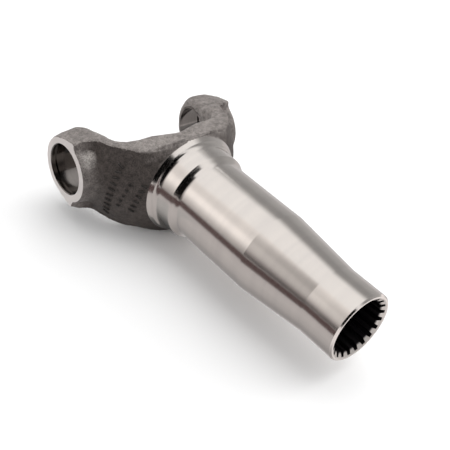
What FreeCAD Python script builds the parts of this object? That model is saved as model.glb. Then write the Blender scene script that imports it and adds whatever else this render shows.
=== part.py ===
"""Driveshaft slip yoke: forged ears and a turned sleeve with a broached spline, in one steel piece.

The frame has its origin at the centre of the universal joint.  +X runs along the sleeve to its open
end, +Y along the cross bores from one ear to the other, and +Z up.  All sizes are in millimetres.
"""
import FreeCAD, Part
import math
import os

V = FreeCAD.Vector

# --- cross bores and ears -------------------------------------------------------------------------
CUP_BORE_R = 15.09          # bearing cup seat, size of a 30.2 mm cup
RING_SPAN = 106.4           # between the inner walls of the two snap-ring grooves
RING_WIDTH = 1.6
RING_DEPTH = 1.1
RING_LAND = 2.1             # metal left outside a groove
BORE_CHAMFER = 0.5
EAR_THICKNESS = 17.2        # at the tip of an ear
EAR_FACE_R = 19.6           # round end of an ear at its outer face, about the bore
EAR_ROOT_R = 20.8           # the same at the inner wall: the ear has forging draft
FACE_FLANK_ANGLE = 13.0     # slope of the flanks at the outer faces
ROOT_FLANK_ANGLE = 7.5      # slope of the flanks between the inner walls

# --- forged arms ----------------------------------------------------------------------------------
BOSS_PROUD = 6.6            # an ear's outer face stands this far out of the ball
DOME_X = 6.8                # centre of that ball on the sleeve axis
BOSS_R = 20.2               # bearing boss, proud of the dome
WEB_FACE_X = 8.8            # back edge of the ear web at the outer face
WEB_LEAN = 3.4              # and how much further back it is one boss height in
WEB_FILLET = 6.0            # hollow between web and boss
BOSS_HEIGHT = 12.0          # half the length of the lofted boss: its foot is inside the ball
BOSS_FILLET = 5.0
WALL_FOOT_X = 14.0          # the inner wall of an arm leans inwards down to here
WALL_FOOT_STEP = 5.5        # by this much
FLOOR_DEPTH = 21.0          # from the rim back to the floor beside the arms
SADDLE_CORNER = 12.0        # radius between an arm's inner wall and the floor
DISH_DEPTH = 5.0            # the floor is dished across its middle by this much
DISH_HALF = 16.0
DISH_BLEND = 18.0
INNER_EDGE = 6.0            # rounding of the forged inner edges

# --- hub, collar and sleeve -----------------------------------------------------------------------
RIM_R = 31.5                # largest turned diameter, where the forged skin stops
FLARE_LENGTH = 11.0         # the flanks open out to the rim over this length
FLARE_RISE = 0.6            # and end this far above it, so that the rim is a full circle
LAND_LENGTH = 2.4           # bevelled land behind the rim
LAND_DROP = 1.5
RIM_FILLET = 3.5            # hollow between land and collar
RIM_NECK = 3.8              # from the rim to where land and collar would meet
COLLAR_R = 28.0
COLLAR_LENGTH = 11.0
COLLAR_FALL = 0.6           # the collar is turned slightly conical
STEP_LENGTH = 7.7           # from the collar's edge down to the sleeve, before its hollow
STEP_HOLLOW = 25.0
SLEEVE_R = 24.75
SLEEVE_LENGTH = 49.7        # seal journal, between the step and the taper
TAPER_LENGTH = 42.0
NOSE_R = 20.5
NOSE_LENGTH = 23.1
END_CHAMFER = 0.9

# --- broached spline ------------------------------------------------------------------------------
TEETH = 21
SPLINE_MINOR_R = 15.88
SPLINE_MAJOR_R = 18.1
SPLINE_LENGTH = 105.0
SPACE_AT_ROOT = 0.38        # width of a space between teeth, as a part of the pitch
SPACE_AT_TIP = 0.60
MOUTH_R = 18.7              # lead-in cone at the open end
MOUTH_DEPTH = 2.2
MOUTH_SLOPE = 1.4           # fall of the lead-in cone for each millimetre of its depth
RELIEF_CLEARANCE = 0.5      # the bore behind the spline clears the broach by this
RELIEF_CONE = 3.0           # length of the cone that ends the teeth inside
THROAT_R = 17.0             # where the bore leaves through the floor between the arms
THROAT_LENGTH = 6.0

# --- plug that closes the bore between the arms ---------------------------------------------------
PLUG_R = 20.0
PLUG_SEAT_DEPTH = 4.5       # its shoulder lies this far behind the middle of the floor
PLUG_THICKNESS = 2.0
PLUG_CROWN = 1.2            # how far its middle is raised towards the joint
PLUG_BRIM = 3.0             # flat brim round the raised part
PLUG_FLAT_R = 11.0          # flat middle of the raised part
VENT_R = 1.6

# --- worked out from the above --------------------------------------------------------------------
HALF_SPAN = RING_SPAN / 2 + RING_WIDTH + RING_LAND
HALF_GAP = HALF_SPAN - EAR_THICKNESS
DOME_R = HALF_SPAN - BOSS_PROUD                             # the backs of both arms lie on one ball
RIM_X = DOME_X + math.sqrt(DOME_R ** 2 - RIM_R ** 2)        # where the ball is as small as the rim
FLOOR_X = RIM_X - FLOOR_DEPTH
DISH_X = FLOOR_X + DISH_DEPTH
PLUG_SEAT_X = DISH_X + PLUG_SEAT_DEPTH
COLLAR_START = RIM_X + RIM_NECK
COLLAR_END = COLLAR_START + COLLAR_LENGTH
SLEEVE_START = COLLAR_END + STEP_LENGTH
SLEEVE_END = SLEEVE_START + SLEEVE_LENGTH
NOSE_START = SLEEVE_END + TAPER_LENGTH
YOKE_END = NOSE_START + NOSE_LENGTH
SPLINE_START = YOKE_END - SPLINE_LENGTH
BEYOND = 30.0               # overrun of the cutting solids


def rounded_edges(corners, closed=True):
    """Edges of an outline given as (point, radius) pairs; a corner with a radius gets a tangent arc."""
    count = len(corners)
    ends = []
    arcs = []
    for i, (point, radius) in enumerate(corners):
        inner = closed or 0 < i < count - 1
        if radius == 0 or not inner:
            ends.append((point, point))
            arcs.append(None)
            continue
        back = (corners[i - 1][0] - point).normalize()
        ahead = (corners[(i + 1) % count][0] - point).normalize()
        half = back.getAngle(ahead) / 2
        reach = radius / math.tan(half)
        middle = (back + ahead).normalize()
        start = point + back * reach
        end = point + ahead * reach
        top = point + middle * (radius / math.sin(half) - radius)
        ends.append((start, end))
        arcs.append(Part.Arc(start, top, end).toShape())
    edges = []
    for i in range(count):
        if arcs[i]:
            edges.append(arcs[i])
        if i == count - 1 and not closed:
            break
        start = ends[i][1]
        end = ends[(i + 1) % count][0]
        if start.distanceToPoint(end) > 1e-6:
            edges.append(Part.makeLine(start, end))
    return edges


def face_of(edges):
    return Part.Face(Part.Wire(edges))


def tangent_arc(start, direction, end):
    """Arc that leaves start along direction and passes through end."""
    chord = end - start
    along = V(direction).normalize()
    turn = along.getAngle(chord)
    side = (chord - along * chord.dot(along)).normalize()
    radius = chord.Length / (2 * math.sin(turn))
    middle = start + along * (radius * math.sin(turn)) + side * (radius * (1 - math.cos(turn)))
    return Part.Arc(start, middle, end).toShape()


def side_outline(y, ear_radius, flank_angle):
    """Outline in the plane at y: the round end of an ear, and flanks that open out to the rim."""
    slope = math.radians(flank_angle)
    along = V(math.cos(slope), 0, math.sin(slope))
    touch = V(-ear_radius * math.sin(slope), y, ear_radius * math.cos(slope))
    flare = touch + along * ((RIM_X - FLARE_LENGTH - touch.x) / along.x)
    rim = V(RIM_X, y, RIM_R + FLARE_RISE)

    def below(point):
        return V(point.x, point.y, -point.z)

    upper = tangent_arc(flare, along, rim)
    return Part.Wire([
        Part.Arc(below(touch), V(-ear_radius, y, 0), touch).toShape(),
        Part.makeLine(touch, flare),
        upper,
        Part.makeLine(rim, below(rim)),
        upper.mirror(V(0, 0, 0), V(0, 0, 1)),
        Part.makeLine(below(flare), below(touch)),
    ])


def forged_envelope():
    """Everything inside the side outline, which swells by the forging draft from face to inner wall."""
    sections = [
        side_outline(-HALF_SPAN, EAR_FACE_R, FACE_FLANK_ANGLE),
        side_outline(-HALF_GAP, EAR_ROOT_R, ROOT_FLANK_ANGLE),
        side_outline(HALF_GAP, EAR_ROOT_R, ROOT_FLANK_ANGLE),
        side_outline(HALF_SPAN, EAR_FACE_R, FACE_FLANK_ANGLE),
    ]
    return Part.makeLoft(sections, True, True)


def boss_section(y, web_x):
    """Section of an ear's back in the plane at y: the round boss, with a web above and below it."""
    reach = BOSS_R + WEB_FILLET
    centre = V(web_x + WEB_FILLET, y, math.sqrt(reach ** 2 - (web_x + WEB_FILLET) ** 2))
    axis = V(0, y, 0)
    on_web = V(web_x, y, centre.z)
    on_boss = axis + (centre - axis) * (BOSS_R / reach)
    inward = ((on_web + on_boss) / 2 - centre).normalize()
    hollow = Part.Arc(on_web, centre + inward * WEB_FILLET, on_boss).toShape()

    def below(point):
        return V(point.x, point.y, -point.z)

    top = V(web_x, y, BEYOND)
    back = V(-BEYOND, y, BEYOND)
    return Part.Wire([
        Part.makeLine(back, top),
        Part.makeLine(top, on_web),
        hollow,
        Part.Arc(on_boss, V(BOSS_R, y, 0), below(on_boss)).toShape(),
        hollow.mirror(V(0, 0, 0), V(0, 0, 1)),
        Part.makeLine(below(on_web), below(top)),
        Part.makeLine(below(top), below(back)),
        Part.makeLine(below(back), back),
    ])


def ear_back(side):
    """The part of one ear that stands proud of the dome, with its foot inside the dome."""
    foot = HALF_SPAN - 2 * BOSS_HEIGHT
    outer = boss_section(side * HALF_SPAN, WEB_FACE_X)
    inner = boss_section(side * foot, WEB_FACE_X + 2 * WEB_LEAN)
    return Part.makeLoft([outer, inner], True, True)


def arm_gap():
    """Room between the arms: leaning inner walls, rounded into a dished floor."""
    lean = WALL_FOOT_STEP / (WALL_FOOT_X + EAR_ROOT_R)
    side = HALF_GAP - lean * (FLOOR_X + EAR_ROOT_R)
    half = [
        (V(-BEYOND, HALF_GAP + lean * (BEYOND - EAR_ROOT_R), 0), 0),
        (V(FLOOR_X, side, 0), SADDLE_CORNER),
        (V(FLOOR_X, DISH_HALF, 0), DISH_BLEND),
    ]
    floor = [(V(DISH_X, 0, 0), DISH_BLEND)]
    other = [(V(point.x, -point.y, 0), radius) for point, radius in reversed(half)]
    gap = face_of(rounded_edges(half + floor + other)).extrude(V(0, 0, 4 * BEYOND))
    gap.translate(V(0, 0, -2 * BEYOND))
    return gap


def on_dome(point):
    return abs((point - V(DOME_X, 0, 0)).Length - DOME_R) < 1e-3


def foot_edges(shape):
    """Edges where the boss and its webs stand on the dome."""
    chosen = []
    for edge in shape.Edges:
        if edge.Degenerated:
            continue
        first, last = edge.ParameterRange
        middle = edge.valueAt((first + last) / 2)
        quarter = edge.valueAt(first + (last - first) / 4)
        if on_dome(middle) and on_dome(quarter) and middle.x > WEB_FACE_X:
            chosen.append(edge)
    return chosen


def forged_back():
    """Dome and ears, without the room between the arms."""
    dome = Part.makeSphere(DOME_R, V(DOME_X, 0, 0), V(1, 0, 0))
    back = dome.fuse([ear_back(1), ear_back(-1)]).removeSplitter()
    back = back.makeFillet(BOSS_FILLET, foot_edges(back))
    return back.common(forged_envelope())


def wall_edges(shape, gap):
    """Edges that run round the room between the arms, on the outside of the forging."""
    walls = [face for face in gap.Faces if abs(face.normalAt(0, 0).z) < 0.5]
    chosen = []
    for edge in shape.Edges:
        if edge.Degenerated:
            continue
        first, last = edge.ParameterRange
        points = [edge.valueAt(first + (last - first) * part) for part in (0.2, 0.5, 0.8)]
        upright = abs(points[0].z + points[2].z) < 1e-6 and points[1].x > -EAR_FACE_R / 2
        on_wall = all(min(wall.distToShape(Part.Vertex(p))[0] for wall in walls) < 1e-3 for p in points)
        if on_wall and not upright:
            chosen.append(edge)
    return chosen


def forged_head():
    """Ears, arms and hub as they leave the die."""
    gap = arm_gap()
    head = forged_back().cut(gap)
    return head.makeFillet(INNER_EDGE, wall_edges(head, gap))


def turned_outline():
    """Half outline of everything cut on the lathe, from inside the hub to the open end."""
    land_end = RIM_X + LAND_LENGTH
    return [
        (V(DISH_X, 0, 0), 0),
        (V(DISH_X, THROAT_R, 0), 0),
        (V(RIM_X, RIM_R, 0), 0),
        (V(land_end, RIM_R - LAND_DROP, 0), 0),
        (V(COLLAR_START, COLLAR_R, 0), RIM_FILLET),
        (V(COLLAR_END, COLLAR_R - COLLAR_FALL, 0), 0),
        (V(SLEEVE_START, SLEEVE_R, 0), STEP_HOLLOW),
        (V(SLEEVE_END, SLEEVE_R, 0), 0),
        (V(NOSE_START, NOSE_R, 0), 0),
        (V(YOKE_END - END_CHAMFER, NOSE_R, 0), 0),
        (V(YOKE_END, NOSE_R - END_CHAMFER, 0), 0),
        (V(YOKE_END, 0, 0), 0),
    ]


def turned_sleeve():
    return face_of(rounded_edges(turned_outline())).revolve(V(0, 0, 0), V(1, 0, 0), 360)


def spline_cutter():
    """Broach form: a space between each pair of teeth, open to the minor bore."""
    pitch = 2 * math.pi / TEETH
    root = SPACE_AT_ROOT * pitch / 2
    tip = SPACE_AT_TIP * pitch / 2

    def at(radius, angle):
        return V(SPLINE_START, radius * math.cos(angle), radius * math.sin(angle))

    edges = []
    for i in range(TEETH):
        space = (i + 0.5) * pitch
        tooth = (i + 1) * pitch
        following = space + pitch - tip
        entry = at(SPLINE_MINOR_R, space - tip)
        left = at(SPLINE_MAJOR_R, space - root)
        right = at(SPLINE_MAJOR_R, space + root)
        leave = at(SPLINE_MINOR_R, space + tip)
        edges.append(Part.makeLine(entry, left))
        edges.append(Part.Arc(left, at(SPLINE_MAJOR_R, space), right).toShape())
        edges.append(Part.makeLine(right, leave))
        edges.append(Part.Arc(leave, at(SPLINE_MINOR_R, tooth), at(SPLINE_MINOR_R, following)).toShape())
    return face_of(edges).extrude(V(SPLINE_LENGTH + BEYOND, 0, 0))


def bore_cutter():
    """Everything bored on the sleeve axis besides the spline, as one turned solid."""
    relief = SPLINE_MAJOR_R + RELIEF_CLEARANCE
    throat_end = PLUG_SEAT_X + THROAT_LENGTH
    outline = [
        (V(0, 0, 0), 0),
        (V(0, PLUG_R, 0), 0),
        (V(PLUG_SEAT_X, PLUG_R, 0), 0),
        (V(PLUG_SEAT_X, THROAT_R, 0), 0),
        (V(throat_end, THROAT_R, 0), 0),
        (V(throat_end + relief - THROAT_R, relief, 0), 0),
        (V(SPLINE_START, relief, 0), 0),
        (V(SPLINE_START + RELIEF_CONE, SPLINE_MINOR_R - RELIEF_CLEARANCE, 0), 0),
        (V(YOKE_END - MOUTH_DEPTH, MOUTH_R - MOUTH_SLOPE * MOUTH_DEPTH, 0), 0),
        (V(YOKE_END, MOUTH_R, 0), 0),
        (V(YOKE_END + BEYOND, MOUTH_R, 0), 0),
        (V(YOKE_END + BEYOND, 0, 0), 0),
    ]
    return face_of(rounded_edges(outline)).revolve(V(0, 0, 0), V(1, 0, 0), 360)


def cup_bore_cutter():
    """Line bore through both ears, with its snap-ring grooves and edge chamfers."""
    groove = RING_SPAN / 2
    groove_end = groove + RING_WIDTH
    groove_r = CUP_BORE_R + RING_DEPTH
    outline = [
        (V(0, 0, 0), 0),
        (V(CUP_BORE_R, 0, 0), 0),
        (V(CUP_BORE_R, groove, 0), 0),
        (V(groove_r, groove, 0), 0),
        (V(groove_r, groove_end, 0), 0),
        (V(CUP_BORE_R, groove_end, 0), 0),
        (V(CUP_BORE_R, HALF_SPAN - BORE_CHAMFER, 0), 0),
        (V(CUP_BORE_R + BORE_CHAMFER, HALF_SPAN, 0), 0),
        (V(CUP_BORE_R + BORE_CHAMFER, HALF_SPAN + BEYOND, 0), 0),
        (V(0, HALF_SPAN + BEYOND, 0), 0),
    ]
    half = face_of(rounded_edges(outline)).revolve(V(0, 0, 0), V(0, 1, 0), 360)
    return half.fuse(half.mirror(V(0, 0, 0), V(0, 1, 0)))


def forged_yoke():
    body = forged_head().fuse(turned_sleeve())
    body = body.cut(cup_bore_cutter())
    body = body.cut(bore_cutter())
    body = body.cut(spline_cutter())
    return body.removeSplitter()


def bore_plug():
    """Pressed steel disc with a low raised middle and a vent hole, seated on its shoulder."""
    face = PLUG_SEAT_X - PLUG_THICKNESS
    outer = [
        V(face - PLUG_CROWN, 0, 0),
        V(face - PLUG_CROWN, PLUG_FLAT_R, 0),
        V(face, PLUG_R - PLUG_BRIM, 0),
        V(face, PLUG_R, 0),
    ]
    inner = [V(PLUG_SEAT_X, PLUG_R, 0)]
    inner += [point + V(PLUG_THICKNESS, 0, 0) for point in reversed(outer[:3])]
    disc = Part.Face(Part.makePolygon(outer + inner + outer[:1])).revolve(V(0, 0, 0), V(1, 0, 0), 360)
    vent = Part.makeCylinder(VENT_R, 2 * BEYOND, V(0, 0, 0), V(1, 0, 0))
    return disc.cut(vent)


def main():
    os.makedirs("parts", exist_ok=True)
    pieces = {"forged_yoke": forged_yoke(), "bore_plug": bore_plug()}
    for name, piece in pieces.items():
        print(name, "valid", piece.isValid(), "solids", len(piece.Solids), "volume", round(piece.Volume))
        piece.exportStep(f"parts/{name}.step")


main()
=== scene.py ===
"""Visual model of a forged slip yoke: one steel forging, the plug pressed into it, and a small studio.

The frame is in metres, with the middle of the cross at the origin, +X along the sleeve, +Y along the cup bores and
+Z up. Sizes of the forging and its marks are in millimetres, and those of finishes, studio and camera in metres.
"""

import logging
import math
from dataclasses import dataclass, field, replace
from enum import Enum, IntEnum

import bpy
import numpy as np
from mathutils import Matrix, Vector


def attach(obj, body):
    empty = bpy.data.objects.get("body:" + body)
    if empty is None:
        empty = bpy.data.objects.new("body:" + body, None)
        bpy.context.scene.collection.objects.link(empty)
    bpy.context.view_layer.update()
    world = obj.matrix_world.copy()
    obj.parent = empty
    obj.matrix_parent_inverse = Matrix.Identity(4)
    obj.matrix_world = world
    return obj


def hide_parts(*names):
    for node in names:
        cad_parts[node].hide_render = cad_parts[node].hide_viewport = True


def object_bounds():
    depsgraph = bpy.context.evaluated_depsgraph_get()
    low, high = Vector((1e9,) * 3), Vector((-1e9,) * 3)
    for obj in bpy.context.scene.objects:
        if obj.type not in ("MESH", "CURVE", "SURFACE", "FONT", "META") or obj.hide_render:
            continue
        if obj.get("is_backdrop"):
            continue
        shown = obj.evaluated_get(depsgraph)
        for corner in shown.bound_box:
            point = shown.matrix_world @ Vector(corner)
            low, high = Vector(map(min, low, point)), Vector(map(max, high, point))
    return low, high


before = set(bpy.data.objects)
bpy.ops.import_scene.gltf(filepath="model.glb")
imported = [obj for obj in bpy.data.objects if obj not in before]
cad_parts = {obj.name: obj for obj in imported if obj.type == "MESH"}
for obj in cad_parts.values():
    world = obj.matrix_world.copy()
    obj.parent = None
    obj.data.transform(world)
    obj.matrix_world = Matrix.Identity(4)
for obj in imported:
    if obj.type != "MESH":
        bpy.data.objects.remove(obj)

LOG = logging.getLogger("yoke")
MM = 0.001
TINY = 1e-12
Node = bpy.types.Node
Socket = bpy.types.NodeSocket
Point = tuple[float, float]
Place = tuple[float, float, float]
Colour = tuple[float, float, float]


class Axis(Enum):
    """Axis of the object."""

    X = "X"
    Y = "Y"
    Z = "Z"


class Zone(IntEnum):
    """Finish zones of the forging, in the order of its material slots."""

    FORGED = 0
    TURNED = 1
    FACED = 2
    BORED = 3
    BROACHED = 4


# --- small helpers --------------------------------------------------


def unit(rows: np.ndarray) -> np.ndarray:
    """Scales each row to length one.

    Args:
        rows: Vectors as an (N, 3) array.

    Returns:
        The same directions with length one; zero rows stay zero.
    """
    length = np.linalg.norm(rows, axis=-1, keepdims=True)
    return rows / np.maximum(length, TINY)


def edges_of(tris: np.ndarray, count: int) -> tuple[np.ndarray, np.ndarray]:
    """Edges of a triangle surface.

    Args:
        tris: Triangles (M, 3).
        count: Number of vertices.

    Returns:
        Each edge once, as its lower and higher vertex (E, 2), and the edge numbers of each triangle (M, 3), in
        which number k runs from corner k to the next.
    """
    after = np.roll(tris, -1, axis=1)
    keys = np.minimum(tris, after).astype(np.int64) * count + np.maximum(tris, after)
    edges, where = np.unique(keys.ravel(), return_inverse=True)
    return np.stack([edges // count, edges % count], axis=1), where.reshape(-1, 3)


def vertex_normals(points: np.ndarray, tris: np.ndarray) -> np.ndarray:
    """Area-weighted mean normal at each vertex: the sum of the cross products round it, at length one."""
    spots = points[tris]
    cross = np.cross(spots[:, 1] - spots[:, 0], spots[:, 2] - spots[:, 0])
    total = [np.bincount(tris.ravel(), np.repeat(cross[:, k], 3), minlength=len(points)) for k in range(3)]
    return unit(np.stack(total, axis=1))


def ease(value: np.ndarray, low: float, high: float) -> np.ndarray:
    """Smooth rise from nought at low to one at high, or the other way round where high is the lower."""
    share = np.clip((value - low) / (high - low), 0.0, 1.0)
    return share * share * (3.0 - 2.0 * share)


def make_mesh(name: str, points: np.ndarray, faces: np.ndarray, *materials: bpy.types.Material,
              smooth: bool = True) -> bpy.types.Object:
    """Makes a mesh object at the origin, with its place in its vertices.

    Args:
        name: Name of the object and of its mesh.
        points: Vertices in metres, (N, 3).
        faces: Vertex numbers of each face, (M, K).
        *materials: Materials of its slots.
        smooth: Whether the faces are shaded smooth.

    Returns:
        The linked object.
    """
    mesh = bpy.data.meshes.new(name)
    mesh.from_pydata(points.tolist(), [], faces.tolist())
    mesh.polygons.foreach_set("use_smooth", np.full(len(faces), smooth))
    for material in materials:
        mesh.materials.append(material)
    mesh.update()
    thing = bpy.data.objects.new(name, mesh)
    bpy.context.scene.collection.objects.link(thing)
    return thing


class Shader:
    """Builds the node tree of one material or world."""

    def __init__(self, owner: bpy.types.ID) -> None:
        owner.use_nodes = True
        self.tree = owner.node_tree
        self.tree.nodes.clear()

    def add(self, kind: str, inputs: dict | None = None, **settings: object) -> Node:
        """Adds a node, sets its properties, and links or sets its inputs.

        Args:
            kind: Node type without the "ShaderNode" at its front.
            inputs: Socket name or number to a socket to link from, or to a constant.
            **settings: Properties of the node.

        Returns:
            The new node.
        """
        node = self.tree.nodes.new("ShaderNode" + kind)
        for key, value in settings.items():
            setattr(node, key, value)
        for key, value in (inputs or {}).items():
            if isinstance(value, Socket):
                self.tree.links.new(value, node.inputs[key])
            else:
                node.inputs[key].default_value = value
        return node

    def place(self) -> Socket:
        """Position on the object in metres."""
        return self.add("TexCoord").outputs["Object"]

    def along(self, axis: Axis) -> Socket:
        """Position along one axis in metres."""
        return self.add("SeparateXYZ", {0: self.place()}).outputs[axis.value]

    def distance(self, place: Place = (0.0, 0.0, 0.0), stretch: Place = (1.0, 1.0, 1.0)) -> Socket:
        """Distance from a place in metres, with each axis stretched by its own factor."""
        off = self.add("VectorMath", {0: self.place(), 1: place}, operation="SUBTRACT").outputs[0]
        off = self.add("VectorMath", {0: off, 1: stretch}, operation="MULTIPLY").outputs[0]
        return self.add("VectorMath", {0: off}, operation="LENGTH").outputs["Value"]

    def off_axis(self, axis: Axis) -> Socket:
        """Distance from one axis in metres."""
        return self.distance(stretch=tuple(float(other is not axis) for other in Axis))

    def facing(self, axis: Axis) -> Socket:
        """Part of the normal along one axis."""
        return self.add("SeparateXYZ", {0: self.add("TexCoord").outputs["Normal"]}).outputs[axis.value]

    def plus(self, one: Socket, other: Socket, clamp: bool = False) -> Socket:
        """Sum of two values, kept between nought and one where clamped."""
        return self.add("Math", {0: one, 1: other}, operation="ADD", use_clamp=clamp).outputs[0]

    def times(self, one: Socket | float, other: Socket) -> Socket:
        """Product of two values."""
        return self.add("Math", {0: one, 1: other}, operation="MULTIPLY").outputs[0]

    def grain(self, scale: float, detail: float) -> Socket:
        """Noise in space with about 1 / scale metres to a grain."""
        return self.add("TexNoise", {"Vector": self.place(), "Scale": scale, "Detail": detail}).outputs[0]

    def lines(self, where: Socket, scale: float, detail: float = 2.0) -> Socket:
        """Noise along one length, which gives tool marks of one width all the way round."""
        noise = self.add("TexNoise", {"W": where, "Scale": scale, "Detail": detail}, noise_dimensions="1D")
        return noise.outputs[0]

    def spread(self, value: Socket, low: float, high: float, source: Point = (0.3, 0.7)) -> Socket:
        """Maps a value from the source range on to low and high, clamped."""
        inputs = {"Value": value, "From Min": source[0], "From Max": source[1], "To Min": low, "To Max": high}
        return self.add("MapRange", inputs, clamp=True).outputs[0]

    def ramp(self, value: Socket, run: tuple[Point, ...]) -> Socket:
        """Runs a value through straight steps between (value, level) pairs."""
        low, high = run[0][0], run[-1][0]
        node = self.add("ValToRGB", {0: self.spread(value, 0.0, 1.0, (low, high))})
        stops = node.color_ramp.elements
        for place, _ in run[2:]:
            stops.new((place - low) / (high - low))
        for stop, (place, level) in zip(stops, run):
            stop.position = (place - low) / (high - low)
            stop.color = (level, level, level, 1.0)
        return node.outputs[0]

    def blend(self, value: Socket, one: Colour | Socket, other: Colour, way: str = "MIX") -> Socket:
        """Mixes two colours, or multiplies one by the other, by a value between nought and one."""
        first = one if isinstance(one, Socket) else (*one, 1.0)
        inputs = {0: value, 6: first, 7: (*other, 1.0)}
        return self.add("Mix", inputs, data_type="RGBA", blend_type=way).outputs[2]

    def bump(self, height: Socket, strength: float, depth_mm: float, under: Socket | None = None) -> Socket:
        """Shades a height map of the given depth, on top of an earlier bump."""
        inputs = {"Height": height, "Strength": strength, "Distance": depth_mm * MM}
        if under is not None:
            inputs["Normal"] = under
        return self.add("Bump", inputs).outputs[0]

    def metal(self, inputs: dict) -> None:
        """Ends the tree with a principled shader."""
        shader = self.add("BsdfPrincipled", inputs)
        self.add("OutputMaterial", {0: shader.outputs[0]})


# --- finishes -------------------------------------------------------


@dataclass(frozen=True)
class Finish:
    """A material. Each kind gives the inputs of its principled shader.

    A grain is the scale and detail of a noise, and a bump the strength and depth in millimetres of its relief.
    """

    name: str

    def inputs(self, shader: Shader) -> dict:
        """Inputs of the principled shader, built with the shader's nodes."""
        raise NotImplementedError

    def build(self) -> bpy.types.Material:
        """Builds the material, with a principled shader at its end."""
        material = bpy.data.materials.new(self.name)
        shader = Shader(material)
        shader.metal(self.inputs(shader))
        return material


@dataclass(frozen=True)
class ForgedSkin(Finish):
    """Skin left by the die: warm grey scale over coarse and fine grain, with one painted highlight by the near ear.

    The backs of the arms are darkened as painted shade. They lie on one ball, so they are told from the distance to
    its middle; what lies near the ears' faces or faces upwards keeps only a share of the painted shade. A run is the
    pair of values between which something comes in, in metres where it is a distance.
    """

    name: str = "forged skin"
    dark: Colour = (0.155, 0.137, 0.128)
    pale: Colour = (0.385, 0.348, 0.327)
    # Tone multiplied into the colour as painted shade on the backs of the arms.
    back: Colour = (0.27, 0.245, 0.235)
    # The next six give the painted highlight by the near ear: its colour, middle, stretch, run, speckle and share.
    wear_and_highlight: Colour = (0.60, 0.56, 0.53)
    highlight_place: Place = (0.0150, -0.0513, 0.0132)
    highlight_stretch: Place = (1.25, 1.25, 0.70)
    highlight_run: Point = (0.0064, 0.0020)
    highlight_speckle: Point = (0.35, 0.85)
    highlight_share: float = 0.9
    # The next six place the painted shade: the ball's middle and run, and the share kept near the ears' faces and on
    # upward faces.
    ball_middle: Place = (0.0068, 0.0, 0.0)
    ball_run: Point = (0.0470, 0.0501)
    ear_run: Point = (0.046, 0.053)
    ear_share: float = 0.4
    up_run: Point = (0.42, 0.75)
    up_share: float = 0.25
    blotch_grain: Point = (330.0, 5.0)
    blotch: Point = (0.15, 0.85)
    speckle: Point = (-0.5, 0.5)
    coarse_grain: Point = (520.0, 3.0)
    coarse_bump: Point = (0.8, 0.26)
    fine_grain: Point = (1300.0, 4.0)
    fine_bump: Point = (0.9, 0.42)
    roughness: Point = (0.42, 0.60)
    metallic: float = 0.35

    def inputs(self, shader: Shader) -> dict:
        """Shader inputs, coloured and roughened by noise in space."""
        fine = shader.grain(*self.fine_grain)
        coarse = shader.grain(*self.coarse_grain)
        blotch = shader.spread(shader.grain(*self.blotch_grain), *self.blotch)
        speckle = shader.plus(blotch, shader.spread(fine, *self.speckle), clamp=True)
        # Painted shade: the backs of the arms darken, less near the ears' faces and where the skin faces upwards.
        behind = shader.spread(shader.distance(self.ball_middle), 0.0, 1.0, self.ball_run)
        out = shader.add("Math", {0: shader.along(Axis.Y)}, operation="ABSOLUTE").outputs[0]
        behind = shader.times(behind, shader.spread(out, 1.0, self.ear_share, self.ear_run))
        behind = shader.times(behind, shader.spread(shader.facing(Axis.Z), 1.0, self.up_share, self.up_run))
        scale = shader.blend(behind, shader.blend(speckle, self.dark, self.pale), self.back, "MULTIPLY")
        # Painted highlight: a lighter speckled patch by the near ear.
        near = shader.distance(self.highlight_place, self.highlight_stretch)
        painted_highlight = shader.spread(near, 0.0, self.highlight_share, self.highlight_run)
        painted_highlight = shader.times(painted_highlight, shader.spread(speckle, *self.highlight_speckle))
        return {
            "Base Color": shader.blend(painted_highlight, scale, self.wear_and_highlight),
            "Roughness": shader.spread(fine, *self.roughness),
            "Metallic": self.metallic,
            "Normal": shader.bump(fine, *self.fine_bump, shader.bump(coarse, *self.coarse_bump)),
        }


@dataclass(frozen=True)
class CutSteel(Finish):
    """Steel cut by a tool that leaves fine lines round one axis."""

    axis: Axis
    colour: Colour
    wear_and_highlight: Colour
    roughness: Point = (0.15, 0.20)
    metallic: float = 1.0
    faced: bool = False
    line_scale: float = 1600.0
    line_bump: Point = (0.5, 0.006)
    lines_per_band: float = 12.0
    band_share: float = 0.6
    smear_grain: Point = (70.0, 3.0)
    smear_share: float = 0.4

    def inputs(self, shader: Shader) -> dict:
        """Shader inputs, with lines spaced along the axis, or out from it on a faced surface."""
        where = shader.off_axis(self.axis) if self.faced else shader.along(self.axis)
        fine = shader.lines(where, self.line_scale)
        bands = shader.spread(shader.lines(where, self.line_scale / self.lines_per_band), 0.0, self.band_share)
        smear = shader.spread(shader.grain(*self.smear_grain), 0.0, self.smear_share)
        return {
            "Base Color": shader.blend(shader.plus(bands, smear), self.colour, self.wear_and_highlight),
            "Roughness": shader.spread(fine, *self.roughness),
            "Metallic": self.metallic,
            "Normal": shader.bump(fine, *self.line_bump),
        }


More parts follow.
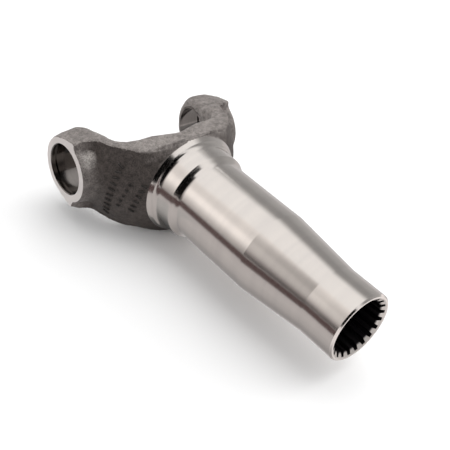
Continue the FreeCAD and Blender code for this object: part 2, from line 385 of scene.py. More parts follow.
@dataclass(frozen=True)
class BroachedBore(Finish):
    """Inside of the sleeve: bright where the lead-in cuts the ends of the teeth, painted shade everywhere else."""

    name: str = "broached bore"
    bright: Colour = (0.62, 0.58, 0.55)
    # Near-black tone painted as shade inside the sleeve.
    painted_shade: Colour = (0.034, 0.030, 0.032)
    lead_in: Point = (0.20, 0.45)
    tips: Point = (0.0160, 0.0168)
    grain: Point = (900.0, 3.0)
    roughness: Point = (0.35, 0.60)
    metallic: float = 0.9
    sheen: float = 0.2

    def inputs(self, shader: Shader) -> dict:
        """Shader inputs, bright where the steel faces along the axis and lies off the tips of the teeth."""
        # Painted shade: near black, except where the steel faces out along the axis off the tips of the teeth.
        cut = shader.times(shader.spread(shader.facing(Axis.X), 0.0, 1.0, self.lead_in),
                           shader.spread(shader.off_axis(Axis.X), 0.0, 1.0, self.tips))
        return {
            "Base Color": shader.blend(cut, self.painted_shade, self.bright),
            "Roughness": shader.spread(shader.grain(*self.grain), *self.roughness),
            "Metallic": self.metallic,
            "Specular IOR Level": self.sheen,
        }


@dataclass(frozen=True)
class PressedSteel(Finish):
    """Thin plated sheet, bright grey with a soft grain."""

    name: str = "pressed steel"
    pale: Colour = (0.50, 0.48, 0.46)
    dull: Colour = (0.34, 0.32, 0.31)
    grain: Point = (220.0, 4.0)
    grain_bump: Point = (0.3, 0.05)
    roughness: Point = (0.3, 0.5)
    metallic: float = 0.9

    def inputs(self, shader: Shader) -> dict:
        """Shader inputs, mottled by noise in space."""
        mottle = shader.grain(*self.grain)
        return {
            "Base Color": shader.blend(shader.spread(mottle, 0.0, 1.0), self.pale, self.dull),
            "Roughness": shader.spread(mottle, *self.roughness),
            "Metallic": self.metallic,
            "Normal": shader.bump(mottle, *self.grain_bump),
        }


@dataclass(frozen=True)
class Paper(Finish):
    """Matt floor paper."""

    name: str = "floor paper"
    colour: Colour = (0.95, 0.95, 0.95)
    roughness: float = 0.9
    sheen: float = 0.1

    def inputs(self, shader: Shader) -> dict:
        """Shader inputs, all of them plain."""
        return {"Base Color": (*self.colour, 1.0), "Roughness": self.roughness, "Specular IOR Level": self.sheen}


# --- the forging ----------------------------------------------------


@dataclass(frozen=True)
class ProfilePart:
    """One straight or hollow round part of the turned outline: x along the axis, r off it."""

    start: Point
    end: Point
    centre: Point | None = None

    def radius_at(self, x: np.ndarray) -> np.ndarray:
        """Height of a hollow round part over the axis: centre height less the circle's drop at x."""
        reach = (self.start[0] - self.centre[0]) ** 2 + (self.start[1] - self.centre[1]) ** 2
        return self.centre[1] - np.sqrt(np.maximum(reach - (x - self.centre[0]) ** 2, 0.0))

    def nearest(self, x: np.ndarray, r: np.ndarray) -> tuple[np.ndarray, np.ndarray]:
        """Nearest places on the part, along the axis and off it, to points given in the same way."""
        if self.centre is not None:
            held = np.clip(x, self.start[0], self.end[0])
            return held, self.radius_at(held)
        run, rise = self.end[0] - self.start[0], self.end[1] - self.start[1]
        share = ((x - self.start[0]) * run + (r - self.start[1]) * rise) / (run ** 2 + rise ** 2)
        share = np.clip(share, 0.0, 1.0)
        return self.start[0] + share * run, self.start[1] + share * rise

    def normal(self, x: np.ndarray, r: np.ndarray) -> np.ndarray:
        """Outward normal as (axial, radial) pairs: square to a line, or towards a hollow's centre."""
        if self.centre is not None:
            held, height = self.nearest(x, r)
            pair = np.stack([self.centre[0] - held, self.centre[1] - height], axis=1)
        else:
            square = (self.start[1] - self.end[1], self.end[0] - self.start[0])
            pair = np.broadcast_to(np.array(square), (len(x), 2))
        return pair / np.linalg.norm(pair, axis=1, keepdims=True)


@dataclass(frozen=True)
class Turning:
    """Outline of everything cut on the lathe, from the rim land to the open end.

    A corner is its place along the axis, its distance off it and the radius of the hollow there, if any.
    """

    corners: tuple[Place, ...] = (
        (46.016, 31.5, 0.0), (48.416, 30.0, 0.0), (49.8, 28.0, 3.5), (60.8, 27.4, 0.0), (68.5, 24.75, 25.0),
        (118.2, 24.75, 0.0), (160.2, 20.5, 0.0), (182.4, 20.5, 0.0), (183.3, 19.6, 0.0), (183.3, 18.0, 0.0),
    )
    step: int = 4
    step_cut: Place = (64.2, 24.75, 5.0)
    slack: float = 0.1

    def finished(self) -> "Turning":
        """The same outline with the hollow of the step cut tighter."""
        return replace(self, corners=(*self.corners[:self.step], self.step_cut, *self.corners[self.step + 1:]))

    def between(self) -> tuple[np.ndarray, np.ndarray, ProfilePart]:
        """Ends (x, r) of the three parts from the collar's edge to the taper, and the hollow among them."""
        parts = self.parts()
        edge = self.corners[self.step - 1][0]
        middle = next(k for k, part in enumerate(parts) if part.centre and part.start[0] > edge)
        ends = [parts[middle - 1].start, parts[middle].start, parts[middle].end, parts[middle + 1].end]
        places, heights = np.array(ends, float).T
        return places, heights, parts[middle]

    def height(self, x: np.ndarray) -> np.ndarray:
        """Radius of the outline at places between the collar's edge and the taper."""
        places, heights, hollow = self.between()
        inside = (x > hollow.start[0]) & (x < hollow.end[0])
        return np.where(inside, hollow.radius_at(x), np.interp(x, places, heights))

    def recut(self, points: np.ndarray) -> np.ndarray:
        """Moves the solid's turned vertices round the step onto the finished outline.

        Places along the axis are stretched between the ends of the outline's parts, and each vertex then goes in
        or out to the finished radius there.

        Args:
            points: Vertices (N, 3).

        Returns:
            The moved vertices.
        """
        new = self.finished()
        places, new_places = self.between()[0], new.between()[0]
        x, r = points[:, 0], np.hypot(points[:, 1], points[:, 2])
        on = (x > places[0]) & (x < places[-1]) & (np.abs(r - self.height(x)) < self.slack)
        moved = np.interp(x, places, new_places)
        share = np.where(on, new.height(moved) / np.maximum(r, TINY), 1.0)
        return np.stack([np.where(on, moved, x), share * points[:, 1], share * points[:, 2]], axis=1)

    def parts(self) -> list[ProfilePart]:
        """Straight parts between the corners, with a hollow of the given radius in each rounded one."""
        found: list[ProfilePart] = []
        start = self.corners[0][:2]
        for before, (x, r, radius), after in zip(self.corners, self.corners[1:], self.corners[2:]):
            if not radius:
                found.append(ProfilePart(start, (x, r)))
                start = (x, r)
                continue
            corner = np.array([x, r])
            back, ahead = (unit(np.array(other[:2]) - corner) for other in (before, after))
            half = math.acos(float(back @ ahead)) / 2
            centre = corner + unit(back + ahead) * (radius / math.sin(half))
            first, last = (tuple(corner + way * (radius / math.tan(half))) for way in (back, ahead))
            found += [ProfilePart(start, first), ProfilePart(first, last, tuple(centre))]
            start = last
        found.append(ProfilePart(start, self.corners[-1][:2]))
        return found


@dataclass(frozen=True)
class Relief:
    """How far the forged skin stands off the solid's own, along its normals.

    A run is the pair of values between which the lift comes in: places in millimetres, or parts of the normal.
    """

    seed: int = 11
    wave_count: int = 90
    wave_length: Point = (3.5, 14.0)
    wave_depth: float = 0.07
    lump_place: Place = (14.0, 41.0, 21.0)
    lump_reach: float = 12.0
    lump_depth: float = 0.35
    saddle_round: Point = (6.0, 1.2)
    saddle_x: Point = (14.0, 20.0)
    saddle_y: Point = (38.0, 26.0)
    saddle_side: Point = (0.10, 0.35)
    saddle_flat: Point = (0.05, 0.30)
    saddle_lean: float = 0.1
    crown_lift: float = 1.2
    crown_x: Point = (42.0, 30.0)
    crown_y: Point = (56.5, 51.0)
    crown_z: Point = (30.5, 27.0)
    crown_flat: Point = (0.3, 0.9)
    least_flat: float = 1e-3

    def waves(self, points: np.ndarray) -> np.ndarray:
        """Uneven height of a forged skin: the mean of many plane cosine waves of random way, length and phase."""
        random = np.random.default_rng(self.seed)
        ways = unit(random.normal(size=(self.wave_count, 3)))
        lengths = random.uniform(*self.wave_length, size=self.wave_count)
        phases = random.uniform(0.0, 2 * math.pi, self.wave_count)
        turns = points @ (ways * (2 * math.pi / lengths)[:, None]).T + phases
        return np.cos(turns).sum(axis=1) / math.sqrt(self.wave_count / 2)

    def fuller(self, points: np.ndarray, way: np.ndarray) -> np.ndarray:
        """How far the rounded edge across the saddle stands out, to turn its round into a tighter one.

        With the old round's middle as origin and the two flat sides square to each other at its radius R, a vertex
        whose normal is t from the flank's meets the new round of radius r, centred at (R - r, R - r), at the
        distance n.c + sqrt((n.c)^2 - c.c + r^2), or the nearer flat side at R / max(cos t, sin t).
        """
        flat, side = np.abs(way[:, 2]), np.sqrt(np.maximum(1.0 - way[:, 2] ** 2, 0.0))
        old, new = self.saddle_round
        shift = old - new
        along = (flat + side) * shift
        round_ = along + np.sqrt(np.maximum(along ** 2 - 2 * shift ** 2 + new ** 2, 0.0))
        straight = old / np.maximum(flat, side)
        in_round = np.minimum(flat, side) * straight > shift
        lift = np.where(in_round, np.minimum(round_, straight), straight) - old
        outwards = np.maximum(way[:, 0], way[:, 1] * np.sign(points[:, 1]))
        place = ease(points[:, 0], *self.saddle_x) * ease(np.abs(points[:, 1]), *self.saddle_y)
        turned = ease(side, *self.saddle_side) * ease(flat, *self.saddle_flat)
        return lift * (outwards < self.saddle_lean) * place * turned

    def crown(self, points: np.ndarray, way: np.ndarray) -> np.ndarray:
        """How far the tops and undersides of the arms stand out, so that they swell between ear and hub.

        The lift is the full height times smooth falls to nought where the skin turns to the side, at the ears'
        faces, before the lathe-cut rim and near the solid's own top.
        """
        y, z = np.abs(points[:, 1]), np.abs(points[:, 2])
        place = ease(y, *self.crown_y) * ease(points[:, 0], *self.crown_x) * ease(z, *self.crown_z)
        return self.crown_lift * ease(np.abs(way[:, 2]), *self.crown_flat) * place

    def lift(self, points: np.ndarray, way: np.ndarray) -> np.ndarray:
        """Whole lift: waves with lumps on the far ear, saddle and crown, but never past the solid's top.

        Args:
            points: Vertices (N, 3).
            way: Vertex normals (N, 3).

        Returns:
            Lift along the normal at each vertex (N,).
        """
        away = np.linalg.norm(points - np.array(self.lump_place), axis=1)
        depth = self.wave_depth + self.lump_depth * np.exp(-((away / self.lump_reach) ** 2))
        lift = depth * self.waves(points) + self.fuller(points, way) + self.crown(points, way)
        height = np.abs(points[:, 2])
        room = np.maximum(height.max() - height, 0.0) / np.maximum(np.abs(way[:, 2]), self.least_flat)
        return np.minimum(lift, room)


@dataclass
class Forging:
    """The yoke itself: the solid's own surface, merged, shaded true to its shapes and split into finishes."""

    node: str = "forged_yoke"
    merge_digits: int = 4
    crease_deg: float = 32.0
    turned_limit: float = 0.35
    lean_weight: float = 2.0
    bore_x: float = 23.0
    half_span: float = 56.9
    face_depth: float = 0.05
    face_square: float = 0.99
    groove_r: float = 16.6
    inside_r: float = 18.75
    inside_lean: float = 1e-3
    seat_r: float = 20.2
    seat_x: float = 40.0
    scoop_y: float = 19.0
    scoop_x: float = 34.4
    mesh_step: float = 1.3
    split_rounds: int = 7
    edge_passes: int = 2
    corner_passes: int = 16
    corner_reach: float = 4.0
    web_corner: Place = (9.0, 56.5, 22.0)
    rounding_share: float = 0.5
    turning: Turning = field(default_factory=Turning)
    relief: Relief = field(default_factory=Relief)

    def merged(self) -> tuple[np.ndarray, np.ndarray]:
        """The solid's surface with its coincident vertices made one.

        Returns:
            Vertices in millimetres (N, 3) and triangles (M, 3), without any that has no area.
        """
        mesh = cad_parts[self.node].data
        points = np.empty(len(mesh.vertices) * 3, np.float32)
        mesh.vertices.foreach_get("co", points)
        corners = np.empty(len(mesh.loops), np.int32)
        mesh.loops.foreach_get("vertex_index", corners)
        keys = np.round(points.reshape(-1, 3).astype(float) / MM, self.merge_digits)
        merged, where = np.unique(keys, axis=0, return_inverse=True)
        tris = where.ravel()[corners].reshape(-1, 3)
        a, b, c = tris.T
        return merged, tris[(a != b) & (b != c) & (c != a)]

    def corner_normals(self, points: np.ndarray, tris: np.ndarray) -> tuple[np.ndarray, np.ndarray]:
        """Smooth normals that stop at creases.

        Each corner takes the mean normal of the triangles round its vertex that lie within the crease angle of its
        own, weighted by their area and by their angle there.

        Args:
            points: Vertices (N, 3).
            tris: Triangles (M, 3).

        Returns:
            Corner normals (M, 3, 3) and face normals (M, 3).
        """
        spots = points[tris]
        ahead = unit(np.roll(spots, -1, axis=1) - spots)
        back = unit(np.roll(spots, 1, axis=1) - spots)
        angle = np.arccos(np.clip((ahead * back).sum(2), -1.0, 1.0)).ravel()
        cross = np.cross(spots[:, 1] - spots[:, 0], spots[:, 2] - spots[:, 0])
        face = unit(cross)
        weight = np.repeat(np.linalg.norm(cross, axis=1), 3) * angle
        corners = tris.ravel()
        owner = np.repeat(np.arange(len(tris)), 3)
        order = np.argsort(corners, kind="stable")
        count = np.bincount(corners, minlength=len(points))
        first = np.cumsum(count) - count
        partners = count[corners]
        left = np.repeat(np.arange(len(corners)), partners)
        step = np.arange(len(left)) - np.repeat(np.cumsum(partners) - partners, partners)
        right = order[first[corners[left]] + step]
        close = (face[owner[left]] * face[owner[right]]).sum(1) > math.cos(math.radians(self.crease_deg))
        share = weight[right] * close
        total = [np.bincount(left, share * face[owner[right], k], minlength=len(corners)) for k in range(3)]
        return unit(np.stack(total, axis=1)).reshape(-1, 3, 3), face

    def turn(self, points: np.ndarray, tris: np.ndarray, face: np.ndarray) -> tuple[np.ndarray, np.ndarray]:
        """Finds the turned triangles and their true normals.

        Args:
            points: Vertices (N, 3).
            tris: Triangles (M, 3).
            face: Face normals (M, 3).

        Returns:
            Whether each triangle is turned (M,), and the turned surface's normal at each corner (M, 3, 3).
        """
        middle = points[tris].mean(axis=1)
        x, r = middle[:, 0], np.hypot(middle[:, 1], middle[:, 2])
        radial = (face[:, 1] * middle[:, 1] + face[:, 2] * middle[:, 2]) / np.maximum(r, TINY)
        spots = points[tris].reshape(-1, 3)
        spot_r = np.hypot(spots[:, 1], spots[:, 2])
        costs, normals = [], []
        for part in self.turning.parts():
            near_x, near_r = part.nearest(x, r)
            pair = part.normal(x, r)
            off = 1.0 - (pair[:, 0] * face[:, 0] + pair[:, 1] * radial)
            costs.append(np.hypot(x - near_x, r - near_r) + self.lean_weight * off)
            normals.append(part.normal(spots[:, 0], spot_r))
        best = np.argmin(costs, axis=0)
        turned = np.min(costs, axis=0) < self.turned_limit
        pair = np.stack(normals)[np.repeat(best, 3), np.arange(len(spots))]
        lean = pair[:, 1] / np.maximum(spot_r, TINY)
        true = np.stack([pair[:, 0], lean * spots[:, 1], lean * spots[:, 2]], axis=1)
        return turned, true.reshape(-1, 3, 3)

    def zones(self, middle: np.ndarray, face: np.ndarray, turned: np.ndarray) -> np.ndarray:
        """Finish zone of each triangle, from its place and the way it faces.

        Args:
            middle: Middles of the triangles (M, 3).
            face: Face normals (M, 3).
            turned: Whether each triangle is turned (M,).

        Returns:
            Zone numbers (M,).
        """
        zone = np.full(len(middle), int(Zone.FORGED))
        x, out = middle[:, 0], np.abs(middle[:, 1])
        off_x = np.hypot(middle[:, 1], middle[:, 2])
        off_y = np.hypot(middle[:, 0], middle[:, 2])
        inwards = face[:, 1] * middle[:, 1] + face[:, 2] * middle[:, 2] <= self.inside_lean * off_x
        inside = (off_x < self.inside_r) | ((off_x < self.seat_r) & (x < self.seat_x))
        scooped = (out > self.scoop_y) & (x < self.scoop_x)
        zone[inside & inwards & ~scooped & (x > self.bore_x)] = Zone.BROACHED
        zone[turned] = Zone.TURNED
        zone[(off_y < self.groove_r) & (out > self.half_span / 2)] = Zone.BORED
        zone[(out > self.half_span - self.face_depth) & (np.abs(face[:, 1]) > self.face_square)] = Zone.FACED
        return zone

    def refined(self, points: np.ndarray, tris: np.ndarray, zone: np.ndarray) -> tuple[np.ndarray, ...]:
        """Splits the long edges of the forged and faced zones at their middles until none is left.

        Args:
            points: Vertices (N, 3).
            tris: Triangles (M, 3).
            zone: Zone of each triangle (M,).

        Returns:
            Vertices, triangles and zones of the finer surface.
        """
        for _ in range(self.split_rounds):
            edges, where = edges_of(tris, len(points))
            split = np.linalg.norm(points[edges[:, 0]] - points[edges[:, 1]], axis=1) > self.mesh_step
            split &= np.isin(np.arange(len(edges)), where[np.isin(zone, (Zone.FORGED, Zone.FACED))])
            if not split.any():
                break
            number = np.cumsum(split) - 1 + len(points)
            points = np.vstack([points, points[edges[split]].mean(axis=1)])
            flags = split[where]
            count = flags.sum(axis=1)
            turn = np.choose(count, [0 * count, flags.argmax(1), (flags.argmin(1) + 1) % 3, 0 * count])
            pick = (np.arange(3) + turn[:, None]) % 3
            a, b, c = np.take_along_axis(tris, pick, 1).T
            ab, bc, ca = np.take_along_axis(number[where], pick, 1).T
            made = [
                [(a, b, c)],
                [(a, ab, c), (ab, b, c)],
                [(ab, b, bc), (a, ab, bc), (a, bc, c)],
                [(a, ab, ca), (ab, b, bc), (ca, bc, c), (ab, bc, ca)],
            ]
            pieces = [(np.stack(corners, axis=1)[count == n], zone[count == n])
                      for n, group in enumerate(made) for corners in group]
            tris = np.vstack([piece[0] for piece in pieces])
            zone = np.concatenate([piece[1] for piece in pieces])
        return points, tris, zone

    def rounded(self, points: np.ndarray, tris: np.ndarray, zone: np.ndarray) -> np.ndarray:
        """Rounds the forged edges and makes the skin uneven; cut surfaces keep their places.

        Each pass moves a free vertex part of the way to the mean of its neighbours, and the later ones act only
        near the corners where a web meets an ear's face. The faces stay flat. The skin then moves out by its relief.

        Args:
            points: Vertices (N, 3).
            tris: Triangles (M, 3).
            zone: Zone of each triangle (M,).

        Returns:
            The moved vertices.
        """
        edges, _ = edges_of(tris, len(points))
        here, there = np.vstack([edges, edges[:, ::-1]]).T
        count = np.bincount(here, minlength=len(points))[:, None]
        free = np.ones((len(points), 3))
        free[tris[zone == Zone.FACED].ravel(), 1] = 0.0
        free[tris[~np.isin(zone, (Zone.FORGED, Zone.FACED))].ravel()] = 0.0
        away = np.linalg.norm(np.abs(points) - np.array(self.web_corner), axis=1)
        near = np.exp(-((away / self.corner_reach) ** 2))[:, None]
        for turn in range(self.corner_passes):
            total = [np.bincount(here, points[there, k], minlength=len(points)) for k in range(3)]
            share = self.rounding_share * free * (1.0 if turn < self.edge_passes else near)
            points = points + share * (np.stack(total, axis=1) / count - points)
        way = vertex_normals(points, tris)
        return points + way * (self.relief.lift(points, way) * free.min(axis=1))[:, None]

    def shade(self, points: np.ndarray, tris: np.ndarray, zone: np.ndarray) -> np.ndarray:
        """Normals of the whole surface.

        Turned corners take the lathe outline's own normal, and bored ones lose their part round the bore.

        Args:
            points: Vertices (N, 3).
            tris: Triangles (M, 3).
            zone: Zone of each triangle (M,).

        Returns:
            Corner normals (M, 3, 3).
        """
        normals, face = self.corner_normals(points, tris)
        turned = zone == Zone.TURNED
        normals[turned] = self.turn(points, tris[turned], face[turned])[1]
        faced = zone == Zone.FACED
        normals[faced] = face[faced][:, None, :]
        bored = zone == Zone.BORED
        away = unit(points[tris[bored]] * np.array([1.0, 0.0, 1.0]))
        held = normals[bored]
        radial = (held * away).sum(2, keepdims=True)
        normals[bored] = unit(radial * away + held * np.array([0.0, 1.0, 0.0]))
        return normals

    def build(self, finishes: dict[Zone, Finish]) -> None:
        """Builds the forging as one piece that stands for the solid.

        Args:
            finishes: Finish of each zone.
        """
        points, tris = self.merged()
        points = self.turning.recut(points)
        self.turning = self.turning.finished()
        _, face = self.corner_normals(points, tris)
        turned, _ = self.turn(points, tris, face)
        zone = self.zones(points[tris].mean(axis=1), face, turned)
        points, tris, zone = self.refined(points, tris, zone)
        points = self.rounded(points, tris, zone)
        normals = self.shade(points, tris, zone)
        piece = make_mesh("yoke_forging", points * MM, tris, *(finishes[kind].build() for kind in Zone))
        piece.data.polygons.foreach_set("material_index", zone.astype(np.int32))
        piece.data.normals_split_custom_set(normals.reshape(-1, 3).tolist())
        piece.data.update()
        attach(piece, "root")
        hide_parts(self.node)
        LOG.info("forging: faces in each zone %s", np.bincount(zone).tolist())


@dataclass(frozen=True)
class MarkRow:
    """One row of raised marks: its two ends on the ball, and the half length, width and height of a mark."""

    start: Place
    end: Place
    count: int
    half: Place


@dataclass
class TallyMarks:
    """Plain raised bars and dots on the back of one arm, as a die leaves them."""

    ball_x: float = 6.8
    ball_r: float = 50.3
    sink: float = 0.12
    rings: int = 9
    spokes: int = 18
    squareness: float = 0.55
    sway: float = 0.35
    seed: int = 5
    rows: tuple[MarkRow, ...] = (
        MarkRow((24.5, -43.0, -18.5), (31.6, -40.5, 16.5), 10, (2.3, 0.62, 0.95)),
        MarkRow((33.5, -41.7, -8.8), (38.5, -38.3, 7.4), 5, (1.0, 1.0, 0.85)),
        MarkRow((39.6, -36.8, -10.1), (44.0, -32.6, 8.0), 6, (2.0, 0.60, 0.85)),
    )

    def row(self, row: MarkRow, turns: np.ndarray) -> np.ndarray:
        """Vertices of one row of marks.

        Each mark is a closed squared-off dome: the unit ball's points, each of their terms raised to the squareness
        with its sign kept, stretched by the half sizes and stood on the arm's ball.

        Args:
            row: The row.
            turns: Turn of each mark in its own plane, in radians.

        Returns:
            Vertices (count, rings * spokes + 2, 3) in millimetres.
        """
        middle = np.array([self.ball_x, 0.0, 0.0])
        out = unit(np.linspace(row.start, row.end, row.count) - middle)
        along = unit(np.array(row.end) - np.array(row.start))[None, :]
        side = unit(np.cross(out, np.broadcast_to(along, out.shape)))
        along = np.cross(side, out)
        turn = turns[:, None]
        length_way = side * np.cos(turn) + along * np.sin(turn)
        width_way = along * np.cos(turn) - side * np.sin(turn)
        tilt = np.linspace(-math.pi / 2, math.pi / 2, self.rings + 2)[1:-1]
        round_ = np.arange(self.spokes) * (2 * math.pi / self.spokes)
        p, q = (grid.ravel() for grid in np.meshgrid(tilt, round_, indexing="ij"))
        shape = np.stack([np.cos(p) * np.cos(q), np.cos(p) * np.sin(q), np.sin(p)], axis=1)
        shape = np.sign(shape) * np.abs(shape) ** self.squareness
        shape = np.vstack([shape, [[0, 0, -1.0], [0, 0, 1.0]]]) * np.array(row.half)
        base = middle + out * (self.ball_r - self.sink)
        ways = np.stack([length_way, width_way, out], axis=1)
        return base[:, None, :] + np.einsum("vk,mkc->mvc", shape, ways)

    def faces(self) -> np.ndarray:
        """Triangles of one mark: a grid between its rings, and a fan round each pole."""
        ring, spoke = np.meshgrid(np.arange(self.rings - 1), np.arange(self.spokes), indexing="ij")
        here = (ring * self.spokes + spoke).ravel()
        beside = (ring * self.spokes + (spoke + 1) % self.spokes).ravel()
        grid = np.vstack([
            np.stack([here, beside, beside + self.spokes], axis=1),
            np.stack([here, beside + self.spokes, here + self.spokes], axis=1),
        ])
        turn = np.arange(self.spokes)
        pole = self.rings * self.spokes
        top = pole - self.spokes
        bottom_fan = np.stack([(turn + 1) % self.spokes, turn, np.full_like(turn, pole)], axis=1)
        top_fan = np.stack([top + turn, top + (turn + 1) % self.spokes, np.full_like(turn, pole + 1)], axis=1)
        return np.vstack([grid, bottom_fan, top_fan])

    def build(self, finish: Finish) -> None:
        """Builds all the marks as one piece.

        Args:
            finish: Finish of the marks.
        """
        random = np.random.default_rng(self.seed)
        marks = [self.row(row, random.uniform(-self.sway, self.sway, row.count)) for row in self.rows]
        points = np.concatenate(marks)
        one = self.faces()
        faces = (one[None] + (np.arange(len(points)) * points.shape[1])[:, None, None]).reshape(-1, 3)
        piece = make_mesh("tally_marks", points.reshape(-1, 3) * MM, faces, finish.build())
        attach(piece, "root")
        LOG.info("tally marks: %d marks, %d faces", len(points), len(faces))


@dataclass
class Plug:
    """Pressed disc that closes the bore between the arms."""

    node: str = "bore_plug"

    def dress(self, finish: Finish) -> None:
        """Puts the finish on the solid itself.

        Args:
            finish: Finish of the plug.
        """
        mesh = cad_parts[self.node].data
        mesh.materials.clear()
        mesh.materials.append(finish.build())
        LOG.info("plug: %d faces", len(mesh.polygons))


# --- studio ---------------------------------------------------------


def lying(half: float, height: float) -> tuple[Place, ...]:
    """Corners of a square that lies at a height, from its half side."""
    return (-half, -half, height), (half, -half, height), (half, half, height), (-half, half, height)


def upright(x: Point, y: float, z: Point) -> tuple[Place, ...]:
    """Corners of an oblong that stands square to Y, from its two ends, its place and its foot and top."""
    return (x[0], y, z[0]), (x[1], y, z[0]), (x[1], y, z[1]), (x[0], y, z[1])


@dataclass(frozen=True)
class Card:
    """Studio card that only reflections see: its corners in metres, and how bright it is.

    Its brightness is its level times its runs, one for each axis it names, each a run of (place in metres, level)
    pairs.
    """

    name: str
    corners: tuple[Place, ...]
    level: float = 1.0
    runs: tuple[tuple[Axis, tuple[Point, ...]], ...] = ()
    tint: Colour = (1.0, 1.0, 1.0)

    def build(self) -> None:
        """Builds the card, hidden from everything but glossy rays."""
        material = bpy.data.materials.new(self.name)
        shader = Shader(material)
        level: Socket | float = self.level
        for axis, run in self.runs:
            level = shader.times(level, shader.ramp(shader.along(axis), run))
        glow = shader.add("Emission", {"Color": (*self.tint, 1.0), "Strength": level})
        shader.add("OutputMaterial", {0: glow.outputs[0]})
        card = make_mesh(self.name, np.array(self.corners), np.arange(len(self.corners))[None], material, smooth=False)
        for rays in ("camera", "diffuse", "shadow", "transmission"):
            setattr(card, "visible_" + rays, False)
        card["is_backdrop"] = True


@dataclass(frozen=True)
class Lamp:
    """Soft oblong lamp that looks at the origin: its place and size in metres, and its power in watts."""

    name: str
    place: Place
    size: Point
    power: float

    def build(self) -> None:
        """Builds the lamp, hidden from reflections."""
        data = bpy.data.lights.new(self.name, "AREA")
        data.shape = "RECTANGLE"
        data.size, data.size_y = self.size
        data.energy = self.power
        lamp = bpy.data.objects.new(self.name, data)
        lamp.location = self.place
        lamp.rotation_mode = "QUATERNION"
        lamp.rotation_quaternion = (-Vector(self.place)).to_track_quat("-Z", "Y")
        lamp.visible_glossy = False
        bpy.context.scene.collection.objects.link(lamp)


@dataclass(frozen=True)
class Studio:
    """Pale floor, soft lamps, white surround and the cards that shape reflections."""

    floor_half: float = 6.0
    surround: float = 0.76
    lamps: tuple[Lamp, ...] = (
        Lamp("overhead", (-0.10, 0.45, 1.5), (1.8, 1.4), 12.0),
        Lamp("far side", (0.35, 1.0, 0.55), (1.2, 0.8), 6.0),
    )
    cards: tuple[Card, ...] = (
        # Painted shadow: the floor reflector's dip and the hub shade stand for the object's shadow on the floor.
        Card("floor reflector", lying(3.0, -0.0312), tint=(1.0, 0.97, 0.97), runs=(
            (Axis.Y, ((-0.058, 0.54), (-0.036, 0.47), (-0.0247, 0.36), (-0.019, 0.32), (-0.0143, 0.35),
                      (-0.010, 0.54), (-0.006, 0.68), (0.030, 0.62), (0.090, 0.58))),
            (Axis.X, ((0.185, 1.0), (0.215, 1.8))))),
        Card("low dark card", upright((-0.6, 0.3), -0.125, (-0.031, 0.0035)), 0.09, tint=(1.0, 0.66, 0.66)),
        Card("hub shade", (
            (-0.030, -0.090, -0.031), (0.030, -0.090, -0.031), (0.036, -0.057, -0.031),
            (0.055, -0.010, -0.031), (0.060, 0.050, -0.031), (-0.030, 0.050, -0.031)), runs=(
            (Axis.Y, ((-0.062, 0.47), (-0.046, 0.40), (-0.038, 0.30), (-0.032, 0.20), (-0.0274, 0.13),
                      (-0.022, 0.08), (-0.013, 0.06), (-0.008, 0.14), (0.010, 0.30))),)),
        Card("camera side card", upright((-3.0, 9.0), -2.0, (-0.03, 4.4)), tint=(1.0, 0.97, 0.95), runs=(
            (Axis.X, ((-1.30, 1.0), (-1.05, 0.84), (-0.80, 0.58), (-0.48, 0.50), (-0.10, 0.48), (0.02, 0.0))),
            (Axis.Z, ((0.0, 0.50), (0.15, 0.60), (0.5, 0.84), (0.85, 1.16), (1.3, 1.15), (1.8, 0.88),
                      (2.6, 0.83), (4.4, 1.0))))),
        Card("front low card", upright((-1.0, 9.0), -1.99, (-0.03, 0.6)), tint=(1.0, 0.93, 0.92), runs=(
            (Axis.X, ((-1.0, 0.78), (-0.75, 0.56), (-0.45, 0.48), (-0.10, 0.46), (0.02, 0.0))),
            (Axis.Z, ((0.0, 0.10), (0.2, 0.28), (0.6, 1.0))))),
        Card("bore light", upright((-1.3, -0.77), 0.79, (0.55, 0.98)), 1.1),
        Card("end dark card", ((2.6, -2.0, -0.03), (2.6, 0.2, -0.03), (2.6, 0.2, 4.4), (2.6, -2.0, 4.4)), 0.0),
        Card("far side card", upright((-3.0, 3.0), 0.80, (-0.03, 1.7)), runs=(
            (Axis.Z, ((0.0, 0.46), (0.30, 0.40), (0.55, 0.31), (0.93, 0.31), (1.32, 0.75), (1.70, 1.0))),)),
    )

    def surrounds(self) -> None:
        """Sets the surround, which cameras and reflections see white."""
        world = bpy.data.worlds.new("surround")
        bpy.context.scene.world = world
        shader = Shader(world)
        rays = shader.add("LightPath").outputs
        seen = shader.plus(rays["Is Camera Ray"], rays["Is Glossy Ray"])
        seen = shader.plus(seen, rays["Is Transmission Ray"], clamp=True)
        dim, white = (shader.add("Background", {"Color": (1.0, 1.0, 1.0, 1.0), "Strength": strength}).outputs[0]
                      for strength in (self.surround, 1.0))
        mix = shader.add("MixShader", {0: seen, 1: dim, 2: white})
        shader.add("OutputWorld", {0: mix.outputs[0]})

    def build(self, height: float) -> None:
        """Builds the whole studio.

        Args:
            height: Level of the floor in metres.
        """
        corners = np.array(lying(self.floor_half, height))
        floor = make_mesh("floor", corners, np.arange(4)[None], Paper().build(), smooth=False)
        floor.visible_glossy = False
        floor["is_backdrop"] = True
        for thing in (*self.lamps, *self.cards):
            thing.build()
        self.surrounds()
        bpy.context.scene.view_settings.view_transform = "Standard"
        LOG.info("studio: floor at %.4f m, %d cards", height, len(self.cards))


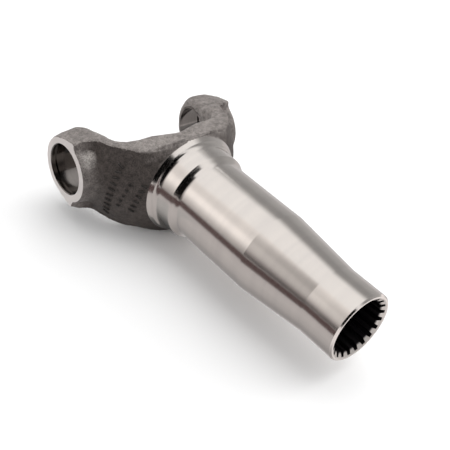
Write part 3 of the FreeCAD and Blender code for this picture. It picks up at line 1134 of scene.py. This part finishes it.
@dataclass(frozen=True)
class Camera:
    """Camera that looks down on the open end, with the arms behind it."""

    place: Place = (0.3280, -0.2607, 0.2673)
    forward: Place = (-0.5485, 0.5759, -0.6062)
    up: Place = (-0.5473, 0.3008, 0.7810)
    lens_mm: float = 63.7
    sensor_mm: float = 36.0
    clip: Point = (0.01, 50.0)

    def build(self) -> None:
        """Builds the camera and makes it the scene's."""
        data = bpy.data.cameras.new("camera")
        data.lens, data.sensor_width = self.lens_mm, self.sensor_mm
        data.clip_start, data.clip_end = self.clip
        forward = Vector(self.forward).normalized()
        right = forward.cross(Vector(self.up)).normalized()
        up = right.cross(forward)
        camera = bpy.data.objects.new("camera", data)
        turn = Matrix((right, up, -forward)).transposed().to_4x4()
        camera.matrix_world = Matrix.Translation(Vector(self.place)) @ turn
        bpy.context.scene.collection.objects.link(camera)
        bpy.context.scene.camera = camera


# --- whole ----------------------------------------------------------


def main() -> None:
    """Builds the yoke, its plug, the studio and the camera, with the floor at the imported solid's lowest point."""
    logging.basicConfig(level=logging.INFO, format="%(name)s %(message)s")
    solid_low, solid_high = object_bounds()

    finishes = {
        Zone.FORGED: ForgedSkin(),
        Zone.TURNED: CutSteel("turned steel", Axis.X, (0.80, 0.745, 0.70), (0.74, 0.69, 0.655)),
        Zone.FACED: CutSteel("faced steel", Axis.Y, (0.82, 0.765, 0.74), (0.68, 0.635, 0.61), (0.4, 0.5),
                             metallic=0.4, faced=True),
        # The bored steel's colours are far darker than the other cut steel's: painted shade inside the cup bores.
        Zone.BORED: CutSteel("bored steel", Axis.Y, (0.27, 0.247, 0.233), (0.19, 0.174, 0.163), (0.10, 0.16)),
        Zone.BROACHED: BroachedBore(),
    }
    Forging().build(finishes)
    # The marks' skin is darker than the arm's; its third colour is the tone of its painted shade.
    TallyMarks().build(ForgedSkin("mark skin", (0.042, 0.036, 0.033), (0.105, 0.094, 0.087), (0.36, 0.34, 0.33)))
    Plug().dress(PressedSteel())

    Studio().build(solid_low.z)
    Camera().build()


if __name__ == "__main__":
    main()
